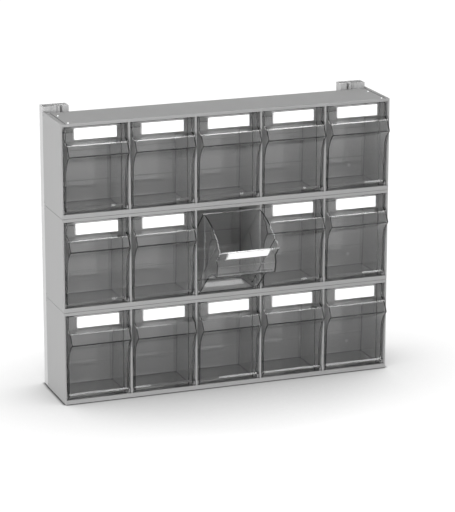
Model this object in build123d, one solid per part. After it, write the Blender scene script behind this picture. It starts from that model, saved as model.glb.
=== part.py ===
from build123d import *
import math
import os

# A wall or bench cabinet of clear tilt-out bins: three equal grey cases stacked on each other, five bins in
# each, tied together by two upright rails at the back. The middle bin of the middle row stands tipped open.
# Millimetres. X runs across the front, -Y is the front, +Z is up. The pieces are drawn with Y = 0 in the plane
# of the cases' front and are saved with the origin under the middle of the cabinet's footprint.

# Stack
row_names = ["bottom", "middle", "top"]
rows = len(row_names)
columns = 5
open_bin = (row_names[rows // 2], columns // 2 + 1)

# Case
case_width = 600.0
case_height = 165.2
case_depth = 108.0
end_wall = 2.5
divider_wall = 2.6
skin = 2.5
floor_bar_height = 7.6
roof_bar_height = 5.5
bar_depth = 3.4
back_panel = 2.5
rear_hollow = 5.5
edge_chamfer = 0.6

# Step along the top of the case's back, where the rails' upper ends show
rear_step_depth = 16.0
rear_step_drop = 6.0

# Band across the inside of the case's back, and the arched pads on its partitions
band_low = 41.0
band_high = 93.0
band_proud = 0.8
pad_proud = 0.8
pad_front = 15.0
pad_shoulder = 38.0
pad_peak_y = 48.0
pad_height = 97.0
pad_back_bow = 15.4
pad_back_steps = 4

# Pivot of a bin, measured from the front and the underside of its case
pivot_y = 8.0
pivot_z = 10.5
stud_radius = 2.2
stud_clearance = 0.08
stud_sides = 8
stud_pad_half = 4.0
side_play = 1.0
stud_bite = 1.5
open_angle = 46.0

# Bin
bin_side_gap = 4.46
bin_taper = 0.8
bin_wall = 2.0
bin_front_gap = 0.3
bin_floor_gap = 0.3
bin_back_gap = 1.5
bin_top_gap = 2.2
front_low_radius = 7.7
back_low_radius = 6.0
low_corner_steps = 2
front_lean_y = 1.0
pull_reach = 19.3
pull_curve_height = 39.5
pull_drop = 24.0
pull_edge = 2.0
pull_edge_set = 1.0
pull_to_ledge = 1.5
brow_reach = 10.5
brow_drop = 4.6
brow_round = 5.0
label_plate_y = 1.5

# Upright shoulder in each side wall, behind which the bin is narrower
shoulder_y = 20.0
shoulder_run = 1.5
shoulder_step = 1.2

# Lip under the front wall, which lands on the case's floor bar when the bin is open
lip_gap = 0.3
lip_front_y = 0.6
lip_face = 1.6
lip_top_z = 18.5

# Label card and the clips that hold it
card_width = 75.5
card_height = 19.5
card_thick = 0.5
card_to_rim = 1.36
card_play = 0.1
clip_post = 1.4
clip_lip = 0.6
clip_cover = 1.3
ledge_width = 40.0
ledge_height = 1.2

# Stacking pegs and the grooves beside them
peg_radius = 1.3
peg_sunk = 1.8
peg_rise = 0.8
small_sides = 6
peg_inset = 14.0
peg_front_y = 3.4
peg_back_y = 62.8
peg_socket_clearance = 0.3
peg_socket_depth = 1.2
groove_inset = 8.0
groove_width = 1.6
groove_depth = 0.8

# Small holes near the corners of the case's end walls
link_hole_radius = 1.2
link_hole_from_back = 3.5
link_hole_from_edge = 6.0

# Upright rails
rail_width = 46.0
rail_depth = 22.0
rail_rise = 7.4
rail_inset = 1.0
rail_wall = 2.2
slot_start = 11.0
slot_width = 5.0
slot_neck = 3.0
slot_head_width = 8.6
slot_head_depth = 4.5
seam_start = 20.4
seam_width = 1.2
seam_depth = 2.0
recess_start = 23.0
recess_width = 9.5
recess_depth = 1.5
cell_split = 22.0

# Screws through the cases' backs, and their nuts in the rails' slots
screw_low_z = 25.0
screw_high_z = 135.0
screw_radius = 1.75
screw_clearance = 0.25
screw_thread_gap = 0.02
screw_head_radius = 3.4
screw_head_height = 1.9
screw_boss_half = 4.6
nut_play = 0.2
nut_thick = 3.0
nut_length = 12.0

# The rails' holes for wall screws, reached through a wider hole in front of each
wall_hole_radius = 2.75
access_radius = 5.5
wall_hole_inset = 18.0
wall_hole_low = 80.0
wall_hole_high = 415.0

bay_width = (case_width - 2 * end_wall - (columns - 1) * divider_wall) / columns
bay_pitch = bay_width + divider_wall
bay_centres = [(i - (columns - 1) / 2) * bay_pitch for i in range(columns)]
divider_places = [x + bay_pitch / 2 for x in bay_centres[:-1]]
inner_half = case_width / 2 - end_wall
stack_height = rows * case_height
bay_depth = case_depth - rear_hollow - back_panel

bin_half_width = bay_width / 2 - bin_side_gap
bin_floor_z = skin + bin_floor_gap
bin_back_y = bay_depth - bin_back_gap
bin_top_radius = case_height - roof_bar_height - bin_top_gap - pivot_z
front_wall_y = bar_depth + bin_front_gap
front_low_centre = (front_wall_y + front_low_radius, bin_floor_z + front_low_radius)
back_low_centre = (bin_back_y - back_low_radius, bin_floor_z + back_low_radius)
card_low_z = pivot_z + math.sqrt(bin_top_radius**2 - (label_plate_y - pivot_y) ** 2) - card_to_rim - card_height
pull_foot = (label_plate_y, card_low_z - ledge_height - pull_to_ledge)
pull_brow = (label_plate_y - brow_reach, pull_foot[1] - brow_drop)
pull_nose = (-pull_reach, pull_foot[1] - pull_drop + pull_edge)
pull_tip = (pull_edge_set - pull_reach, pull_foot[1] - pull_drop)
front_lean_z = pull_tip[1] - pull_curve_height
past = 1.0
tiny = 0.01


def block(x0, x1, y0, y1, z0, z1):
    """A plain box between two corners."""
    return Pos((x0 + x1) / 2, (y0 + y1) / 2, (z0 + z1) / 2) * Box(x1 - x0, y1 - y0, z1 - z0)


def side_face(edges):
    """A face in the Y-Z plane from edges given as (y, z)."""
    return Plane.YZ * make_face(edges)


def along_x(face, x0, x1):
    """A side face stretched from x0 to x1."""
    return Pos(x0, 0, 0) * extrude(face, amount=x1 - x0, dir=(1, 0, 0))


def prism_x(radius, sides, x0, x1, y, z):
    """A bar along X with a regular outline, whose corners lie on the radius."""
    face = Plane.YZ * Pos(y, z) * RegularPolygon(radius, sides)
    return along_x(face, min(x0, x1), max(x0, x1))


def prism_y(radius, sides, x, y0, y1, z):
    """A bar along Y with a regular outline, whose corners lie on the radius."""
    face = Plane.ZX.offset(y0) * Pos(z, x) * RegularPolygon(radius, sides)
    return extrude(face, amount=y1 - y0)


def rod_y(radius, x, y0, y1, z):
    """A round rod along Y."""
    return Pos(x, (y0 + y1) / 2, z) * Rot(90, 0, 0) * Cylinder(radius, abs(y1 - y0))


def on_circle(centre, radius, degrees):
    """The point of a circle at an angle from +Y towards +Z."""
    turn = math.radians(degrees)
    return (centre[0] + radius * math.cos(turn), centre[1] + radius * math.sin(turn))


def circle_points(centre, radius, first, last, steps):
    """Points of a circle from one angle to another, both included."""
    return [on_circle(centre, radius, first + (last - first) * i / steps) for i in range(steps + 1)]


def bowed_points(start, end, bow, steps):
    """Points of an arc that stands out to the left of the way from start to end by bow, without its start."""
    run = (end[0] - start[0], end[1] - start[1])
    length = math.hypot(*run)
    radius = (length**2 / 4 + bow**2) / (2 * bow)
    middle = ((start[0] + end[0]) / 2, (start[1] + end[1]) / 2)
    sink = radius - bow
    centre = (middle[0] + sink * run[1] / length, middle[1] - sink * run[0] / length)
    first = math.degrees(math.atan2(start[1] - centre[1], start[0] - centre[0]))
    turn = 2 * math.degrees(math.asin(length / (2 * radius)))
    return circle_points(centre, radius, first, first - turn, steps)[1:]


def way(start, end):
    """The unit direction from one point to another."""
    length = math.dist(start, end)
    return ((end[0] - start[0]) / length, (end[1] - start[1]) / length)


def moved_corner(before, corner, after, inwards):
    """A corner of an outline moved so that both its sides shift to the left of the way by the same distance."""
    first = way(before, corner)
    second = way(corner, after)
    bend = 1 + first[0] * second[0] + first[1] * second[1]
    return (
        corner[0] - inwards * (first[1] + second[1]) / bend,
        corner[1] + inwards * (first[0] + second[0]) / bend,
    )


def line_meets_circle(start, direction, centre, radius):
    """The first point where a line from outside a circle enters it."""
    away = (start[0] - centre[0], start[1] - centre[1])
    along = away[0] * direction[0] + away[1] * direction[1]
    reach = -along - math.sqrt(along**2 - away[0] ** 2 - away[1] ** 2 + radius**2)
    return (start[0] + reach * direction[0], start[1] + reach * direction[1])


def top_z(y):
    """Height of a bin's arched top edge, which keeps one distance from the pivot."""
    return pivot_z + math.sqrt(bin_top_radius**2 - (y - pivot_y) ** 2)


def front_y(z):
    """Place of the front wall's leaning face at a height under the finger curve."""
    share = (z - front_low_centre[1]) / (front_lean_z - front_low_centre[1])
    return front_wall_y + (front_lean_y - front_wall_y) * share


# The case's moulding


def arch_face():
    """Outline of the arched pad on a partition."""
    peak = (pad_peak_y, pad_height)
    back = bowed_points(peak, (bay_depth, skin), pad_back_bow, pad_back_steps)
    return side_face(Polyline((pad_front, skin), (pad_front, pad_shoulder), peak, *back, close=True))


def case_shell():
    """The case's outer walls, partitions and back, before its small features."""
    shell = block(-case_width / 2, case_width / 2, 0, case_depth, 0, case_height)
    long_edges = shell.edges().filter_by(Axis.X).filter_by_position(Axis.Y, -tiny, tiny)
    shell = chamfer(long_edges + shell.edges().filter_by(Axis.Y), edge_chamfer)
    step_y = case_depth - rear_step_depth
    step_z = case_height - rear_step_drop
    for x in bay_centres:
        left = x - bay_width / 2
        right = x + bay_width / 2
        mouth = block(left, right, -past, bar_depth, floor_bar_height, case_height - roof_bar_height)
        bay = block(left, right, bar_depth, step_y - skin, skin, case_height - skin)
        rear_bay = block(left, right, step_y - skin, bay_depth, skin, step_z - skin)
        shell -= [mouth, bay, rear_bay]
    panel_back = bay_depth + back_panel
    shell -= block(-inner_half, inner_half, panel_back, case_depth + past, skin, step_z - skin)
    shell -= block(-inner_half, inner_half, step_y, case_depth + past, step_z, case_height + past)
    return shell


def case_partition_features():
    """Arched pads, and a pivot stud on its square pad, on every face that looks into a bay."""
    arch = arch_face()
    pads = [along_x(arch, x - divider_wall / 2 - pad_proud, x + divider_wall / 2 + pad_proud) for x in divider_places]
    pads.append(along_x(arch, -inner_half, -inner_half + pad_proud))
    pads.append(along_x(arch, inner_half - pad_proud, inner_half))
    studs = []
    for x in bay_centres:
        for side in (-1, 1):
            root = x + side * (bay_width / 2 + divider_wall / 4)
            pad_end = x + side * (bin_half_width + side_play)
            stud_end = x + side * (bin_half_width - stud_bite)
            studs.append(
                block(
                    min(root, pad_end), max(root, pad_end),
                    pivot_y - stud_pad_half, pivot_y + stud_pad_half,
                    pivot_z - stud_pad_half, pivot_z + stud_pad_half,
                )
            )
            studs.append(prism_x(stud_radius, stud_sides, root, stud_end, pivot_y, pivot_z))
    return pads + studs


def screw_places():
    """Places of the screws through one case's back, as (x, z) from its underside."""
    x = case_width / 2 - rail_inset - rail_width + slot_start + slot_width / 2
    return [(side * x, z) for side in (-1, 1) for z in (screw_low_z, screw_high_z)]


def peg_places():
    """Places of the pegs on one case, as (x, y)."""
    x = case_width / 2 - peg_inset
    return [(side * x, y) for side in (-1, 1) for y in (peg_front_y, peg_back_y)]


def screw_head(x, z, clearance):
    """The sunk head of a screw, flush with the inside of a case's back."""
    narrows = (screw_head_radius - screw_radius) * math.cos(math.pi / small_sides)
    taper = math.degrees(math.atan(narrows / screw_head_height))
    face = Plane.ZX.offset(bay_depth) * Pos(z, x) * RegularPolygon(screw_head_radius + clearance, small_sides)
    return extrude(face, amount=screw_head_height, taper=taper)


def make_case():
    """One case: a moulding with five bays."""
    case = case_shell()
    case += case_partition_features()
    case += block(-inner_half, inner_half, bay_depth - band_proud, bay_depth + back_panel / 2, band_low, band_high)
    panel_back = bay_depth + back_panel
    backing = []
    rib_top = case_height - rear_step_drop - skin / 2
    for x in divider_places:
        backing.append(block(x - divider_wall / 2, x + divider_wall / 2, panel_back, case_depth, skin / 2, rib_top))
    half = screw_boss_half
    for x, z in screw_places():
        backing.append(block(x - half, x + half, bay_depth + back_panel / 2, case_depth, z - half, z + half))
    case += backing
    cuts = []
    hole_radius = screw_radius + screw_clearance
    for x, z in screw_places():
        cuts.append(prism_y(hole_radius, small_sides, x, bay_depth + tiny, case_depth + past, z))
        cuts.append(screw_head(x, z, screw_clearance))
    for x, y in peg_places():
        socket_radius = peg_radius + peg_socket_clearance
        cuts.append(Pos(x, y, case_height - peg_sunk) * peg_shape(peg_radius, peg_sunk + past))
        cuts.append(Pos(x, y, -past) * peg_shape(socket_radius, peg_socket_depth + past))
    groove_back = case_depth - rear_step_depth + past
    groove_z = case_height - groove_depth
    link_y = case_depth - link_hole_from_back
    for side in (-1, 1):
        groove_x = side * (case_width / 2 - groove_inset)
        groove_low = groove_x - groove_width / 2
        cuts.append(block(groove_low, groove_low + groove_width, -past, groove_back, groove_z, case_height + past))
        inside = side * (inner_half - past)
        outside = side * (case_width / 2 + past)
        for z in (link_hole_from_edge, case_height - link_hole_from_edge):
            cuts.append(prism_x(link_hole_radius, small_sides, inside, outside, link_y, z))
    return case - cuts


# A clear bin, with its label clips


def finger_curve():
    """Centre, radius and turn of the curve under the visor, which runs into the leaning front wall."""
    back = front_lean_y - pull_tip[0]
    turn = 2 * math.atan2(back, pull_curve_height)
    radius = pull_curve_height / math.sin(turn)
    return (front_lean_y - radius, front_lean_z), radius, math.degrees(turn)


def brow_arc():
    """Start, middle and end of the rounding between the visor's top and its slanted face."""
    top_way = way(pull_foot, pull_brow)
    face_way = way(pull_brow, pull_nose)
    bend = 1 + top_way[0] * face_way[0] + top_way[1] * face_way[1]
    set_back = brow_round * abs(top_way[0] * face_way[1] - top_way[1] * face_way[0]) / bend
    start = (pull_brow[0] - set_back * top_way[0], pull_brow[1] - set_back * top_way[1])
    end = (pull_brow[0] + set_back * face_way[0], pull_brow[1] + set_back * face_way[1])
    centre = moved_corner(pull_foot, pull_brow, pull_nose, brow_round)
    out = way(centre, pull_brow)
    return start, (centre[0] + brow_round * out[0], centre[1] + brow_round * out[1]), end


def lip_outline():
    """The lip, whose underside lies flat on the floor bar once the bin has turned by open_angle."""
    slope = math.radians(open_angle)
    bar_front = (-pivot_y, floor_bar_height - pivot_z)
    stop_y = bar_front[0] * math.cos(slope) + (bar_front[1] + lip_gap) * math.sin(slope)
    stop_z = -bar_front[0] * math.sin(slope) + (bar_front[1] + lip_gap) * math.cos(slope)

    def underside(y):
        return pivot_z + stop_z - (y - pivot_y - stop_y) * math.tan(slope)

    lip_low = (lip_front_y, underside(lip_front_y))
    lip_high = (lip_front_y, lip_low[1] + lip_face)
    return [(front_wall_y, underside(front_wall_y)), lip_low, lip_high, (front_y(lip_top_z), lip_top_z)]


def bin_outer_face():
    """Side outline of a closed bin."""
    curve_centre, curve_radius, curve_turn = finger_curve()
    brow_start, brow_middle, brow_end = brow_arc()
    front_low = circle_points(front_low_centre, front_low_radius, 270, 180, low_corner_steps)
    back_low = circle_points(back_low_centre, back_low_radius, 0, -90, low_corner_steps)
    lean_top = (front_lean_y, front_lean_z)
    plate_top = (label_plate_y, top_z(label_plate_y))
    middle_y = (label_plate_y + bin_back_y) / 2
    back_top = (bin_back_y, top_z(bin_back_y))
    edges = [
        Polyline(*front_low, *lip_outline(), lean_top),
        ThreePointArc(lean_top, on_circle(curve_centre, curve_radius, curve_turn / 2), pull_tip),
        Polyline(pull_tip, pull_nose, brow_end),
        ThreePointArc(brow_end, brow_middle, brow_start),
        Polyline(brow_start, pull_foot, plate_top),
        ThreePointArc(plate_top, (middle_y, top_z(middle_y)), back_top),
        Polyline(back_top, *back_low, front_low[0]),
    ]
    return side_face(edges)


def bin_inner_face():
    """Side outline of a bin's hollow, open at the top."""
    curve_centre, curve_radius, _ = finger_curve()
    front_low = circle_points(front_low_centre, front_low_radius - bin_wall, 270, 180, low_corner_steps)
    back_low = circle_points(back_low_centre, back_low_radius - bin_wall, 0, -90, low_corner_steps)
    lean_top = (front_lean_y + bin_wall, front_lean_z)
    plate_top = (label_plate_y, case_height)
    brow = moved_corner(pull_foot, pull_brow, pull_nose, bin_wall)
    foot = moved_corner(plate_top, pull_foot, pull_brow, bin_wall)
    curve = curve_radius + bin_wall
    corner = line_meets_circle(brow, way(pull_brow, pull_nose), curve_centre, curve)
    curve_end = math.degrees(math.atan2(corner[1] - curve_centre[1], corner[0] - curve_centre[0]))
    inner_back = bin_back_y - bin_wall
    edges = [
        Polyline(*front_low, lean_top),
        ThreePointArc(lean_top, on_circle(curve_centre, curve, curve_end / 2), corner),
        Polyline(
            corner, brow, foot, (label_plate_y + bin_wall, case_height), (inner_back, case_height), *back_low,
            front_low[0],
        ),
    ]
    return side_face(edges)


def bin_plan(inset):
    """A bin's plan as a tall prism: one width over the front, then the shoulder and a taper to the back."""
    front_half = bin_half_width - inset
    body_half = front_half - shoulder_step
    far = 2 * pull_reach
    right = [
        (front_half, -far),
        (front_half, shoulder_y),
        (body_half, shoulder_y + shoulder_run),
        (body_half - bin_taper, bin_back_y + past),
    ]
    left = [(-x, y) for x, y in reversed(right)]
    return extrude(make_face(Polyline(*right, *left, close=True)), amount=2 * case_height)


def label_clips():
    """End clips and a ledge in front of the label plate, which hold the card."""
    card_front = label_plate_y - card_thick - card_play
    clip_front = card_front - clip_lip
    root = label_plate_y + bin_wall / 2
    low = card_low_z - ledge_height
    pieces = [block(-ledge_width / 2, ledge_width / 2, card_front, root, low, card_low_z)]
    for side in (-1, 1):
        inner = side * (card_width / 2 + card_play)
        outer = inner + side * clip_post
        cover = inner - side * clip_cover
        hook = Polyline(
            (inner, root), (outer, root), (outer, clip_front), (cover, clip_front), (cover, card_front),
            (inner, card_front), close=True,
        )
        pieces.append(Pos(0, 0, low) * extrude(make_face(hook), amount=card_height + ledge_height, dir=(0, 0, 1)))
    return pieces


def make_bin():
    """One clear bin, closed, centred on its bay."""
    half = bin_half_width
    # The hole's flats clear the stud's corners
    hole_radius = (stud_radius + stud_clearance) / math.cos(math.pi / stud_sides)
    shape = along_x(bin_outer_face(), -half, half) & bin_plan(0)
    shape -= along_x(bin_inner_face(), -half, half) & bin_plan(bin_wall)
    shape += label_clips()
    return shape - prism_x(hole_radius, stud_sides, -half - past, half + past, pivot_y, pivot_z)


def make_card():
    """The label card of a closed bin."""
    half = card_width / 2
    return block(-half, half, label_plate_y - card_thick, label_plate_y, card_low_z, card_low_z + card_height)


def tipped(shape):
    """A bin's piece turned about its pivot to the open stop."""
    return Pos(0, pivot_y, pivot_z) * Rot(open_angle, 0, 0) * Pos(0, -pivot_y, -pivot_z) * shape


# Rails, pegs and screws


def make_rail(side):
    """One upright rail: a drawn section with a slot facing the cases. side is -1 at the left, 1 at the right."""
    inner = case_width / 2 - rail_inset - rail_width
    height = stack_height + rail_rise
    front = case_depth

    def strip(start, width, y0, y1):
        near = side * (inner + start)
        far = side * (inner + start + width)
        return block(min(near, far), max(near, far), front + y0, front + y1, -past, height + past)

    low_x = min(side * inner, side * (inner + rail_width))
    rail = block(low_x, low_x + rail_width, front, front + rail_depth, 0, height)
    head_start = slot_start - (slot_head_width - slot_width) / 2
    behind_slot = slot_neck + slot_head_depth + rail_wall
    behind_recess = recess_depth + rail_wall
    cell_back = rail_depth - rail_wall
    rail -= [
        strip(slot_start, slot_width, -past, slot_neck + tiny),
        strip(head_start, slot_head_width, slot_neck, slot_neck + slot_head_depth),
        strip(seam_start, seam_width, -past, seam_depth),
        strip(recess_start, recess_width, -past, recess_depth),
        strip(rail_wall, cell_split - 2 * rail_wall, behind_slot, cell_back),
        strip(cell_split, rail_width - cell_split - rail_wall, behind_recess, cell_back),
    ]
    rear = front + rail_depth
    holes = []
    wall_x = side * (case_width / 2 - wall_hole_inset)
    for z in (wall_hole_low, wall_hole_high):
        holes.append(rod_y(wall_hole_radius, wall_x, rear - 2 * rail_wall, rear + past, z))
        holes.append(prism_y(access_radius, small_sides, wall_x, front - past, front + behind_recess + rail_wall, z))
    return rail - holes


def peg_shape(radius, length):
    """A six-sided peg standing on the origin."""
    return extrude(RegularPolygon(radius, small_sides), amount=length)


def make_pegs():
    """All stacking pegs, four on each case."""
    peg = peg_shape(peg_radius, peg_sunk + peg_rise)
    places = [(x, y, (row + 1) * case_height - peg_sunk) for row in range(rows) for x, y in peg_places()]
    return Compound([Pos(*place) * peg for place in places])


def fixing_places():
    """Places of every screw and nut between the cases and the rails, as (x, z)."""
    return [(x, row * case_height + z) for row in range(rows) for x, z in screw_places()]


def make_screws():
    """All screws between the cases and the rails."""
    tip = case_depth + slot_neck + nut_thick
    screw = prism_y(screw_radius, small_sides, 0, bay_depth + tiny, tip, 0) + screw_head(0, 0, 0)
    return Compound([Pos(x, 0, z) * screw for x, z in fixing_places()])


def make_nuts():
    """All the slot nuts, which bear on the backs of the rails' slot lips."""
    half = slot_head_width / 2 - nut_play
    seat = case_depth + slot_neck
    nut = block(-half, half, seat, seat + nut_thick, -nut_length / 2, nut_length / 2)
    nut -= prism_y(screw_radius + screw_thread_gap, small_sides, 0, seat - past, seat + nut_thick + past, 0)
    return Compound([Pos(x, 0, z) * nut for x, z in fixing_places()])


def save(shape, node):
    """Write one node's STEP file, with the origin under the middle of the footprint."""
    placed = Pos(0, -(case_depth + rail_depth) / 2, 0) * shape
    placed.label = node
    export_step(placed, f"parts/{node}.step")


os.makedirs("parts", exist_ok=True)

case_part = make_case()
bin_part = make_bin()
card_part = make_card()
for row, row_name in enumerate(row_names):
    lift = Pos(0, 0, row * case_height)
    save(lift * case_part, f"case_{row_name}")
    for column, bay_x in enumerate(bay_centres, start=1):
        place = Pos(bay_x, 0, row * case_height)
        is_open = (row_name, column) == open_bin
        bin_here = tipped(bin_part) if is_open else bin_part
        card_here = tipped(card_part) if is_open else card_part
        save(place * bin_here, f"bin_{row_name}_{column}")
        save(place * card_here, f"label_{row_name}_{column}")
save(make_rail(-1), "rail_left")
save(make_rail(1), "rail_right")
save(make_pegs(), "stacking_pegs")
save(make_screws(), "rail_screws")
save(make_nuts(), "slot_nuts")
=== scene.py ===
import math

import bmesh
import bpy
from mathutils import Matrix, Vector


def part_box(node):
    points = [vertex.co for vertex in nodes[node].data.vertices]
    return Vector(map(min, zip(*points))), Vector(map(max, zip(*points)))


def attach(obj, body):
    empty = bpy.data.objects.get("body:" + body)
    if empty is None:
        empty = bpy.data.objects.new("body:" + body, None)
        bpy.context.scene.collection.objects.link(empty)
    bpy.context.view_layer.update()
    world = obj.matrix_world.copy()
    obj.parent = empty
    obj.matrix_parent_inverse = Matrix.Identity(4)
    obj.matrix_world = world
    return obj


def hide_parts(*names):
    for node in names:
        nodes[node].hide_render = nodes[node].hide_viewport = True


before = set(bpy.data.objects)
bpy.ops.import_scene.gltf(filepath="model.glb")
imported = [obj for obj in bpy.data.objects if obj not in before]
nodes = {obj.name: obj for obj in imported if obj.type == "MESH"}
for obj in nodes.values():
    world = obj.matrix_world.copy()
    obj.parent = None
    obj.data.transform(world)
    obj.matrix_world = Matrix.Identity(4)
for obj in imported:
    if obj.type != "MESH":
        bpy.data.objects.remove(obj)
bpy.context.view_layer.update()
rowNames = ("bottom", "middle", "top")
columnCount = 5
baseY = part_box("case_bottom")[0].y    # the cases' front plane
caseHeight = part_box("case_middle")[0].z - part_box("case_bottom")[0].z

# the camera, solved from the cabinet's corners in the photo
photo = {
    "height": 512,
    "azimuth": -20.339,
    "elevation": 15.713,
    "distance": 4.405,
    "focalPixels": 2535.3,
    "aim": (-0.0026, 0.0, 0.2382),    # y is measured from the cases' front plane
    "sensor": 36.0,
    "clipNear": 0.1,
    "clipFar": 200.0,
}

studio = {
    "floorSize": 60.0,
    "floorBounce": 0.85,    # what the floor gives back to the cabinet
    "floorSeen": 1.08,    # what the camera sees of it, so that it reads as white outside the painted shadow
    "shadowReach": 0.3,
    "contactReach": 0.007,    # the thin painted contact shadow where the cabinet meets the floor
    "contactDark": 0.5,    # beside a wall half the sky is hidden, so a half counts as fully dark there
    "shadowSamples": 16,
    "ambient": 0.465,
    "throughGlow": 0.17,    # extra for the bays, whose light passes the clear bins
    "lampAim": 0.25,    # the height that both lamps point at
    "keyPlace": (-3.2, -2.6, 0.8),
    "keySize": 2.6,
    "keyPower": 137.0,
    "fillPlace": (1.2, -4.4, 1.2),
    "fillSize": 2.0,
    "fillPower": 16.0,
    "clearBounces": 48,
    "glossBounces": 12,
    "sheenWay": (0.33, -0.16, 0.93),    # towards the overhead panel that the glossy plastic mirrors
    "sheenInner": 0.93,    # cosines of the panel's half angles, where it is full and where it ends
    "sheenOuter": 0.86,
    "sheenGlow": 6.0,
    "sheenDepth": 2.5,    # a first reflection of the world counts as a depth of two
}

noiseMiddle = 0.5
mixSockets = {"factor": 0, "first": 6, "second": 7, "result": 2}    # the Mix node's sockets for colours


class Wire:
    # one socket of a node tree; arithmetic on it adds Math nodes
    def __init__(self, tree, socket=None):
        self.tree = tree
        self.socket = socket

    def node(self, kind, settings=None, sockets=None, out=0):
        made = self.tree.nodes.new(kind)
        for name, value in (settings or {}).items():
            setattr(made, name, value)
        for name, value in (sockets or {}).items():
            if isinstance(value, Wire):
                self.tree.links.new(value.socket, made.inputs[name])
            else:
                made.inputs[name].default_value = value
        return Wire(self.tree, made.outputs[out])

    def maths(self, operation, first, second):
        return self.node("ShaderNodeMath", {"operation": operation}, {0: first, 1: second})

    def __add__(self, other):
        return self.maths("ADD", self, other)

    def __radd__(self, other):
        return self.maths("ADD", other, self)

    def __sub__(self, other):
        return self.maths("SUBTRACT", self, other)

    def __rsub__(self, other):
        return self.maths("SUBTRACT", other, self)

    def __mul__(self, other):
        return self.maths("MULTIPLY", self, other)

    def __rmul__(self, other):
        return self.maths("MULTIPLY", other, self)


def newMaterial(name):
    material = bpy.data.materials.new(name)
    material.use_nodes = True
    material.node_tree.nodes.clear()
    return material, Wire(material.node_tree)


def finishMaterial(wire, shader):
    output = wire.tree.nodes.new("ShaderNodeOutputMaterial")
    wire.tree.links.new(shader.socket, output.inputs["Surface"])


def finishPrincipled(wire, sockets):
    finishMaterial(wire, wire.node("ShaderNodeBsdfPrincipled", None, sockets))


def grey(level):
    return (level, level, level, 1.0)


def place(wire):
    # Object coordinates, in metres in the cabinet's frame
    return wire.node("ShaderNodeTexCoord", out="Object")


def scaledPlace(wire, scale):
    # the same with a scale for each axis, for a noise whose own scale is 1
    return wire.node("ShaderNodeMapping", None, {"Vector": place(wire), "Scale": scale})


def noise(wire, where, scale, detail):
    return wire.node("ShaderNodeTexNoise", None, {"Vector": where, "Scale": scale, "Detail": detail})


def greyAbout(wire, pattern, level, spread):
    # a grey that follows a noise, from spread below the level to spread above it
    sockets = {
        mixSockets["factor"]: pattern,
        mixSockets["first"]: grey(level - spread),
        mixSockets["second"]: grey(level + spread),
    }
    return wire.node("ShaderNodeMix", {"data_type": "RGBA"}, sockets, mixSockets["result"])


def roughAbout(pattern, level, spread):
    return level + spread * (pattern - noiseMiddle)


def bumped(wire, pattern, depth, strength, normal=None):
    sockets = {"Height": pattern, "Distance": depth, "Strength": strength}
    if normal:
        sockets["Normal"] = normal
    return wire.node("ShaderNodeBump", None, sockets)


def nearness(wire, reach, onlyLocal=False):
    # 1 in the open, less where something stands within reach, or the same piece if onlyLocal
    settings = {"samples": studio["shadowSamples"], "only_local": onlyLocal}
    return wire.node("ShaderNodeAmbientOcclusion", settings, {"Distance": reach}, "AO")


casePlastic = {
    "grey": 0.40,
    "spread": 0.012,
    "cloudScale": 9.0,
    "cloudDetail": 4.0,
    "grainScale": 1400.0,
    "grainDetail": 2.0,
    "grainDepth": 0.00006,
    "grainStrength": 0.5,
    "roughness": 0.46,
    "roughSpread": 0.10,
    "specular": 0.2,
    "index": 1.5,
    "edgeRadius": 0.0004,
    "edgeSamples": 4,
    "seamHalf": 0.00045,    # half the width of the painted shade line where two cases meet
    # how dark the painted seam shade gets
    "seamPaintedShade": 0.25,
    "cornerReach": 0.003,    # how far the painted shade spreads from the inner corners
    "cornerDark": 0.5,    # the openness that counts as fully dark in the painted corner shade
    "cornerPaintedShade": 0.35,
}


def seamPaintedShade(wire, where):
    # 1 on the cases and less in a thin line of painted shade at each joint and a painted contact shadow at
    # the floor, but not over the roof
    s = casePlastic
    half = caseHeight / 2
    height = wire.node("ShaderNodeSeparateXYZ", None, {"Vector": where}, "Z")
    fold = wire.maths("PINGPONG", height, half)
    sockets = {"Value": fold, "From Max": s["seamHalf"], "To Min": s["seamPaintedShade"]}
    line = wire.node("ShaderNodeMapRange", None, sockets)
    roof = wire.maths("GREATER_THAN", height, caseHeight * len(rowNames) - half)
    return wire.maths("MAXIMUM", line, roof)


def cornerPaintedShade(wire):
    # painted shade: darker in the inner corners, where less light reaches
    s = casePlastic
    near = nearness(wire, s["cornerReach"], onlyLocal=True)
    sockets = {"Value": near, "From Min": s["cornerDark"], "To Min": s["cornerPaintedShade"]}
    return wire.node("ShaderNodeMapRange", None, sockets)


def makeCasePlastic():
    s = casePlastic
    material, wire = newMaterial("case_plastic_grey")
    where = place(wire)
    cloud = noise(wire, where, s["cloudScale"], s["cloudDetail"])
    grain = noise(wire, where, s["grainScale"], s["grainDetail"])
    even = greyAbout(wire, cloud, s["grey"], s["spread"])
    # the painted shade of the joints and inner corners darkens the case's grey
    paintedShade = seamPaintedShade(wire, where) * cornerPaintedShade(wire)
    edge = wire.node("ShaderNodeBevel", {"samples": s["edgeSamples"]}, {"Radius": s["edgeRadius"]})
    finishPrincipled(wire, {
        "Base Color": wire.node("ShaderNodeVectorMath", {"operation": "SCALE"}, {0: even, "Scale": paintedShade}),
        "Roughness": roughAbout(cloud, s["roughness"], s["roughSpread"]),
        "Normal": bumped(wire, grain, s["grainDepth"], s["grainStrength"], edge),
        "IOR": s["index"],
        "Specular IOR Level": s["specular"],
    })
    return material


binPlastic = {
    "tint": 0.99,
    "roughness": 0.012,
    "roughSpread": 0.02,
    "flowScale": (7.0, 7.0, 2.2),    # melt flow marks, drawn out upwards
    "flowDetail": 1.0,
    "flowDepth": 0.0004,
    "flowStrength": 0.04,
    "index": 1.5,
}


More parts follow.
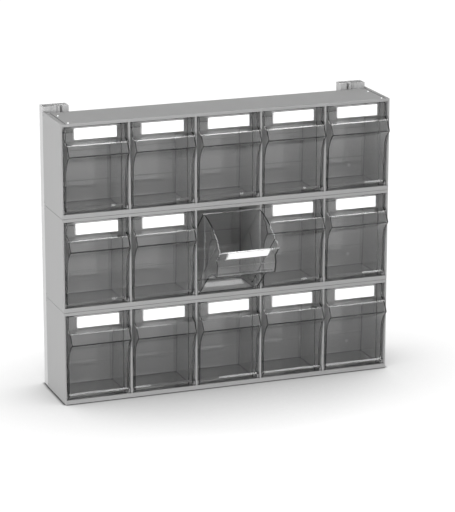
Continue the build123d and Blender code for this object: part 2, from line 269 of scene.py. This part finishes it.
def makeBinPlastic():
    s = binPlastic
    material, wire = newMaterial("bin_plastic_clear")
    flow = noise(wire, scaledPlace(wire, s["flowScale"]), 1.0, s["flowDetail"])
    unevenness = wire.maths("ABSOLUTE", flow - noiseMiddle, 0.0)
    finishPrincipled(wire, {
        "Base Color": grey(s["tint"]),
        "Roughness": s["roughness"] + s["roughSpread"] * unevenness,
        "Normal": bumped(wire, flow, s["flowDepth"], s["flowStrength"]),
        "IOR": s["index"],
        "Transmission Weight": 1.0,
    })
    return material


cardPaper = {
    "white": 0.95,
    "spread": 0.01,
    "grainScale": 900.0,
    "grainDetail": 3.0,
    "grainDepth": 0.00003,
    "grainStrength": 0.3,
    "roughness": 0.8,
    "paintedGlow": 0.4,    # painted light: the cards glow so that they read fully white even where they lean down
}


def makeCardPaper():
    s = cardPaper
    material, wire = newMaterial("label_card_white")
    grain = noise(wire, place(wire), s["grainScale"], s["grainDetail"])
    colour = greyAbout(wire, grain, s["white"], s["spread"])
    finishPrincipled(wire, {
        "Base Color": colour,
        "Roughness": s["roughness"],
        "Normal": bumped(wire, grain, s["grainDepth"], s["grainStrength"]),
        # painted light: the card glows in its own colour
        "Emission Color": colour,
        "Emission Strength": s["paintedGlow"],
    })
    return material


railMetal = {
    "grey": 0.62,
    "spread": 0.03,
    "drawScale": (1600.0, 1600.0, 6.0),    # fine lines, drawn out along the rail
    "drawDetail": 2.0,
    "drawDepth": 0.00003,
    "drawStrength": 0.4,
    "roughness": 0.5,
    "roughSpread": 0.12,
    "metallic": 0.12,
}


def makeRailMetal():
    s = railMetal
    material, wire = newMaterial("rail_aluminium")
    lines = noise(wire, scaledPlace(wire, s["drawScale"]), 1.0, s["drawDetail"])
    finishPrincipled(wire, {
        "Base Color": greyAbout(wire, lines, s["grey"], s["spread"]),
        "Roughness": roughAbout(lines, s["roughness"], s["roughSpread"]),
        "Normal": bumped(wire, lines, s["drawDepth"], s["drawStrength"]),
        "Metallic": s["metallic"],
    })
    return material


pegPlastic = {
    "grey": 0.95,
    "spread": 0.02,
    "cloudScale": 300.0,
    "cloudDetail": 2.0,
    "roughness": 0.25,
    # painted glint: the pegs glow so that they show as bright white dots
    "paintedGlow": 0.5,
}


def makePegPlastic():
    s = pegPlastic
    material, wire = newMaterial("peg_plastic_pale")
    cloud = noise(wire, place(wire), s["cloudScale"], s["cloudDetail"])
    colour = greyAbout(wire, cloud, s["grey"], s["spread"])
    finishPrincipled(wire, {
        "Base Color": colour,
        "Roughness": s["roughness"],
        # painted light: the peg glows in its own colour
        "Emission Color": colour,
        "Emission Strength": s["paintedGlow"],
    })
    return material


screwSteel = {
    "grey": 0.55,
    "spread": 0.06,
    "cloudScale": 700.0,
    "cloudDetail": 3.0,
    "roughness": 0.32,
    "roughSpread": 0.15,
    "metallic": 1.0,
}


def makeScrewSteel():
    s = screwSteel
    material, wire = newMaterial("screw_steel_zinc")
    cloud = noise(wire, place(wire), s["cloudScale"], s["cloudDetail"])
    finishPrincipled(wire, {
        "Base Color": greyAbout(wire, cloud, s["grey"], s["spread"]),
        "Roughness": roughAbout(cloud, s["roughness"], s["roughSpread"]),
        "Metallic": s["metallic"],
    })
    return material


soften = {
    "weld": 0.000002,
    "flat": math.radians(0.5),    # faces that meet at less than this are one face
    "sharp": math.radians(25.0),
    "stripBends": 2,    # a strip of a rounded face bends at each side
}


def mergedCopy(node):
    # the CAD node's mesh with its split corners joined and its flat faces whole
    bm = bmesh.new()
    bm.from_mesh(nodes[node].data)
    bmesh.ops.remove_doubles(bm, verts=bm.verts, dist=soften["weld"])
    bmesh.ops.dissolve_limit(bm, angle_limit=soften["flat"], verts=bm.verts, edges=bm.edges)
    return bm


def isBend(edge):
    return len(edge.link_faces) == 2 and soften["flat"] < edge.calc_face_angle(0.0) <= soften["sharp"]


def smoothBends(bm):
    # only the strips of a rounded face are smooth, so that light passes the flat ones without bending
    for face in bm.faces:
        face.smooth = sum(isBend(edge) for edge in face.edges) >= soften["stripBends"]
    for edge in bm.edges:
        edge.smooth = all(face.smooth for face in edge.link_faces)


def keepPiece(bm, name, material):
    mesh = bpy.data.meshes.new(name)
    bm.to_mesh(mesh)
    bm.free()
    mesh.materials.append(material)
    piece = bpy.data.objects.new(name, mesh)
    bpy.context.scene.collection.objects.link(piece)
    return piece


def makeBins(material):
    for row in rowNames:
        for column in range(1, columnCount + 1):
            node = f"bin_{row}_{column}"
            bm = mergedCopy(node)
            smoothBends(bm)
            piece = keepPiece(bm, f"clear_bin_{row}_{column}", material)
            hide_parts(node)
            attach(piece, f"tilt_{row}_{column}")
    print("clear bins made")


pegForm = {"sides": 24, "crown": 0.0005, "rise": 0.0006}


def islands(bm):
    # the separate solids of a mesh, each as a list of its vertices
    left = set(bm.verts)
    found = []
    while left:
        seed = left.pop()
        group = [seed]
        for vert in group:
            for edge in vert.link_edges:
                other = edge.other_vert(vert)
                if other in left:
                    left.remove(other)
                    group.append(other)
        found.append(group)
    return found


def islandBoxes(node):
    # lowest and highest corner of each separate solid of a node
    bm = mergedCopy(node)
    boxes = []
    for group in islands(bm):
        low = Vector([min(vert.co[i] for vert in group) for i in range(3)])
        high = Vector([max(vert.co[i] for vert in group) for i in range(3)])
        boxes.append((low, high))
    bm.free()
    return sorted(boxes, key=lambda pair: tuple(pair[0]))


def lathe(bm, outline, sides, base):
    # rings of (height, radius) over the base, closed at both ends
    rings = []
    for height, radius in outline:
        ring = []
        for i in range(sides):
            turn = 2 * math.pi * i / sides
            spot = Vector((radius * math.cos(turn), radius * math.sin(turn), height))
            ring.append(bm.verts.new(base + spot))
        rings.append(ring)
    for low, high in zip(rings, rings[1:]):
        for i in range(sides):
            j = (i + 1) % sides
            bm.faces.new((low[i], low[j], high[j], high[i]))
    bm.faces.new(list(reversed(rings[0])))
    bm.faces.new(rings[-1])


def makePegs(material):
    bm = bmesh.new()
    crown = pegForm["crown"]
    bend = crown * (1 - math.sqrt(0.5))    # halfway round the crown's quarter circle
    for low, high in islandBoxes("stacking_pegs"):
        radius = (high.x - low.x) / 2
        top = high.z - low.z + pegForm["rise"]
        base = Vector(((low.x + high.x) / 2, (low.y + high.y) / 2, low.z))
        outline = [(0, radius), (top - crown, radius), (top - bend, radius - bend), (top, radius - crown)]
        lathe(bm, outline, pegForm["sides"], base)
    piece = keepPiece(bm, "round_pegs", material)
    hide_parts("stacking_pegs")
    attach(piece, "cabinet")
    print("round pegs made")


def dress(node, material):
    data = nodes[node].data
    data.materials.clear()
    data.materials.append(material)


def dressNodes():
    plastic = makeCasePlastic()
    card = makeCardPaper()
    metal = makeRailMetal()
    steel = makeScrewSteel()
    for row in rowNames:
        dress(f"case_{row}", plastic)
        for column in range(1, columnCount + 1):
            dress(f"label_{row}_{column}", card)
    dress("rail_left", metal)
    dress("rail_right", metal)
    dress("rail_screws", steel)
    dress("slot_nuts", steel)
    print("materials on the cases, cards, rails, screws and nuts")


def seenDirectly(wire):
    # 1 for what the camera sees, straight or in gloss or through the clear bins
    camera = wire.node("ShaderNodeLightPath", out="Is Camera Ray")
    gloss = wire.node("ShaderNodeLightPath", out="Is Glossy Ray")
    through = wire.node("ShaderNodeLightPath", out="Is Transmission Ray")
    return wire.maths("MAXIMUM", wire.maths("MAXIMUM", camera, gloss), through)


def makeFloor():
    bm = bmesh.new()
    bmesh.ops.create_grid(bm, x_segments=1, y_segments=1, size=studio["floorSize"] / 2)
    mesh = bpy.data.meshes.new("studio_floor")
    bm.to_mesh(mesh)
    bm.free()
    floor = bpy.data.objects.new("studio_floor", mesh)
    bpy.context.scene.collection.objects.link(floor)
    material, wire = newMaterial("floor_white")
    # painted shadow: the floor's glow dims near the cabinet, and a thin painted contact shadow runs along
    # its foot
    paintedShadow = nearness(wire, studio["shadowReach"])
    near = nearness(wire, studio["contactReach"])
    paintedContactShadow = wire.node("ShaderNodeMapRange", None, {"Value": near, "From Min": studio["contactDark"]})
    strength = studio["floorSeen"] * (paintedShadow * paintedContactShadow)
    paintedGlow = wire.node("ShaderNodeEmission", None, {"Color": grey(1.0), "Strength": strength})
    bounce = wire.node("ShaderNodeBsdfDiffuse", None, {"Color": grey(studio["floorBounce"])})
    shader = wire.node("ShaderNodeMixShader", None, {0: seenDirectly(wire), 1: bounce, 2: paintedGlow})
    finishMaterial(wire, shader)
    mesh.materials.append(material)


def makeWorld():
    world = bpy.data.worlds.new("studio_world")
    bpy.context.scene.world = world
    world.use_nodes = True
    world.node_tree.nodes.clear()
    wire = Wire(world.node_tree)
    seen = seenDirectly(wire)
    way = wire.node("ShaderNodeTexCoord", out="Generated")
    aim = tuple(Vector(studio["sheenWay"]).normalized())
    cosine = wire.node("ShaderNodeVectorMath", {"operation": "DOT_PRODUCT"}, {0: way, 1: aim}, "Value")
    panel = wire.node(
        "ShaderNodeMapRange",
        {"interpolation_type": "SMOOTHSTEP"},
        {"Value": cosine, "From Min": studio["sheenOuter"], "From Max": studio["sheenInner"]},
    )
    gloss = wire.node("ShaderNodeLightPath", out="Is Glossy Ray")
    # the panel shows in outer gloss alone, and lights nothing that lies behind the clear walls
    depth = wire.node("ShaderNodeLightPath", out="Ray Depth")
    sheen = panel * gloss * wire.maths("LESS_THAN", depth, studio["sheenDepth"])
    through = wire.node("ShaderNodeLightPath", out="Is Transmission Ray")
    even = studio["ambient"] + (1.0 - studio["ambient"]) * seen
    strength = even + studio["throughGlow"] * through + studio["sheenGlow"] * sheen
    background = wire.node("ShaderNodeBackground", None, {"Color": grey(1.0), "Strength": strength})
    output = world.node_tree.nodes.new("ShaderNodeOutputWorld")
    world.node_tree.links.new(background.socket, output.inputs["Surface"])


def makeLamp(name, spot, size, power):
    lamp = bpy.data.lights.new(name, "AREA")
    lamp.shape = "SQUARE"
    lamp.size = size
    lamp.energy = power
    holder = bpy.data.objects.new(name, lamp)
    bpy.context.scene.collection.objects.link(holder)
    way = Vector((0.0, baseY, studio["lampAim"])) - Vector(spot)
    holder.location = spot
    holder.rotation_euler = way.to_track_quat("-Z", "Y").to_euler()
    return holder


def makeCamera():
    camera = bpy.data.objects.new("photo_camera", bpy.data.cameras.new("photo_camera"))
    bpy.context.scene.collection.objects.link(camera)
    a = math.radians(photo["azimuth"])
    e = math.radians(photo["elevation"])
    back = Vector((math.sin(a) * math.cos(e), -math.cos(a) * math.cos(e), math.sin(e)))
    aim = Vector(photo["aim"]) + Vector((0, baseY, 0))
    camera.location = aim + back * photo["distance"]
    camera.rotation_euler = (-back).to_track_quat("-Z", "Y").to_euler()
    camera.data.sensor_width = photo["sensor"]
    # the sensor's width is that of the frame's long side
    camera.data.lens = photo["focalPixels"] / photo["height"] * photo["sensor"]
    camera.data.clip_start = photo["clipNear"]
    camera.data.clip_end = photo["clipFar"]
    bpy.context.scene.camera = camera


makeFloor()
makeWorld()
makeLamp("key_light", studio["keyPlace"], studio["keySize"], studio["keyPower"])
fill = makeLamp("fill_light", studio["fillPlace"], studio["fillSize"], studio["fillPower"])
fill.visible_glossy = False    # else it streaks the clear bins
fill.visible_transmission = False
makeCamera()
print("studio and camera ready")
makeBins(makeBinPlastic())
makePegs(makePegPlastic())
dressNodes()

bpy.context.scene.view_settings.view_transform = "Standard"
# light passes many clear walls, two surfaces each, before it reaches the back of a bay
cycles = bpy.context.scene.cycles
cycles.max_bounces = studio["clearBounces"]
cycles.transmission_bounces = studio["clearBounces"]
cycles.transparent_max_bounces = studio["clearBounces"]
cycles.glossy_bounces = studio["glossBounces"]
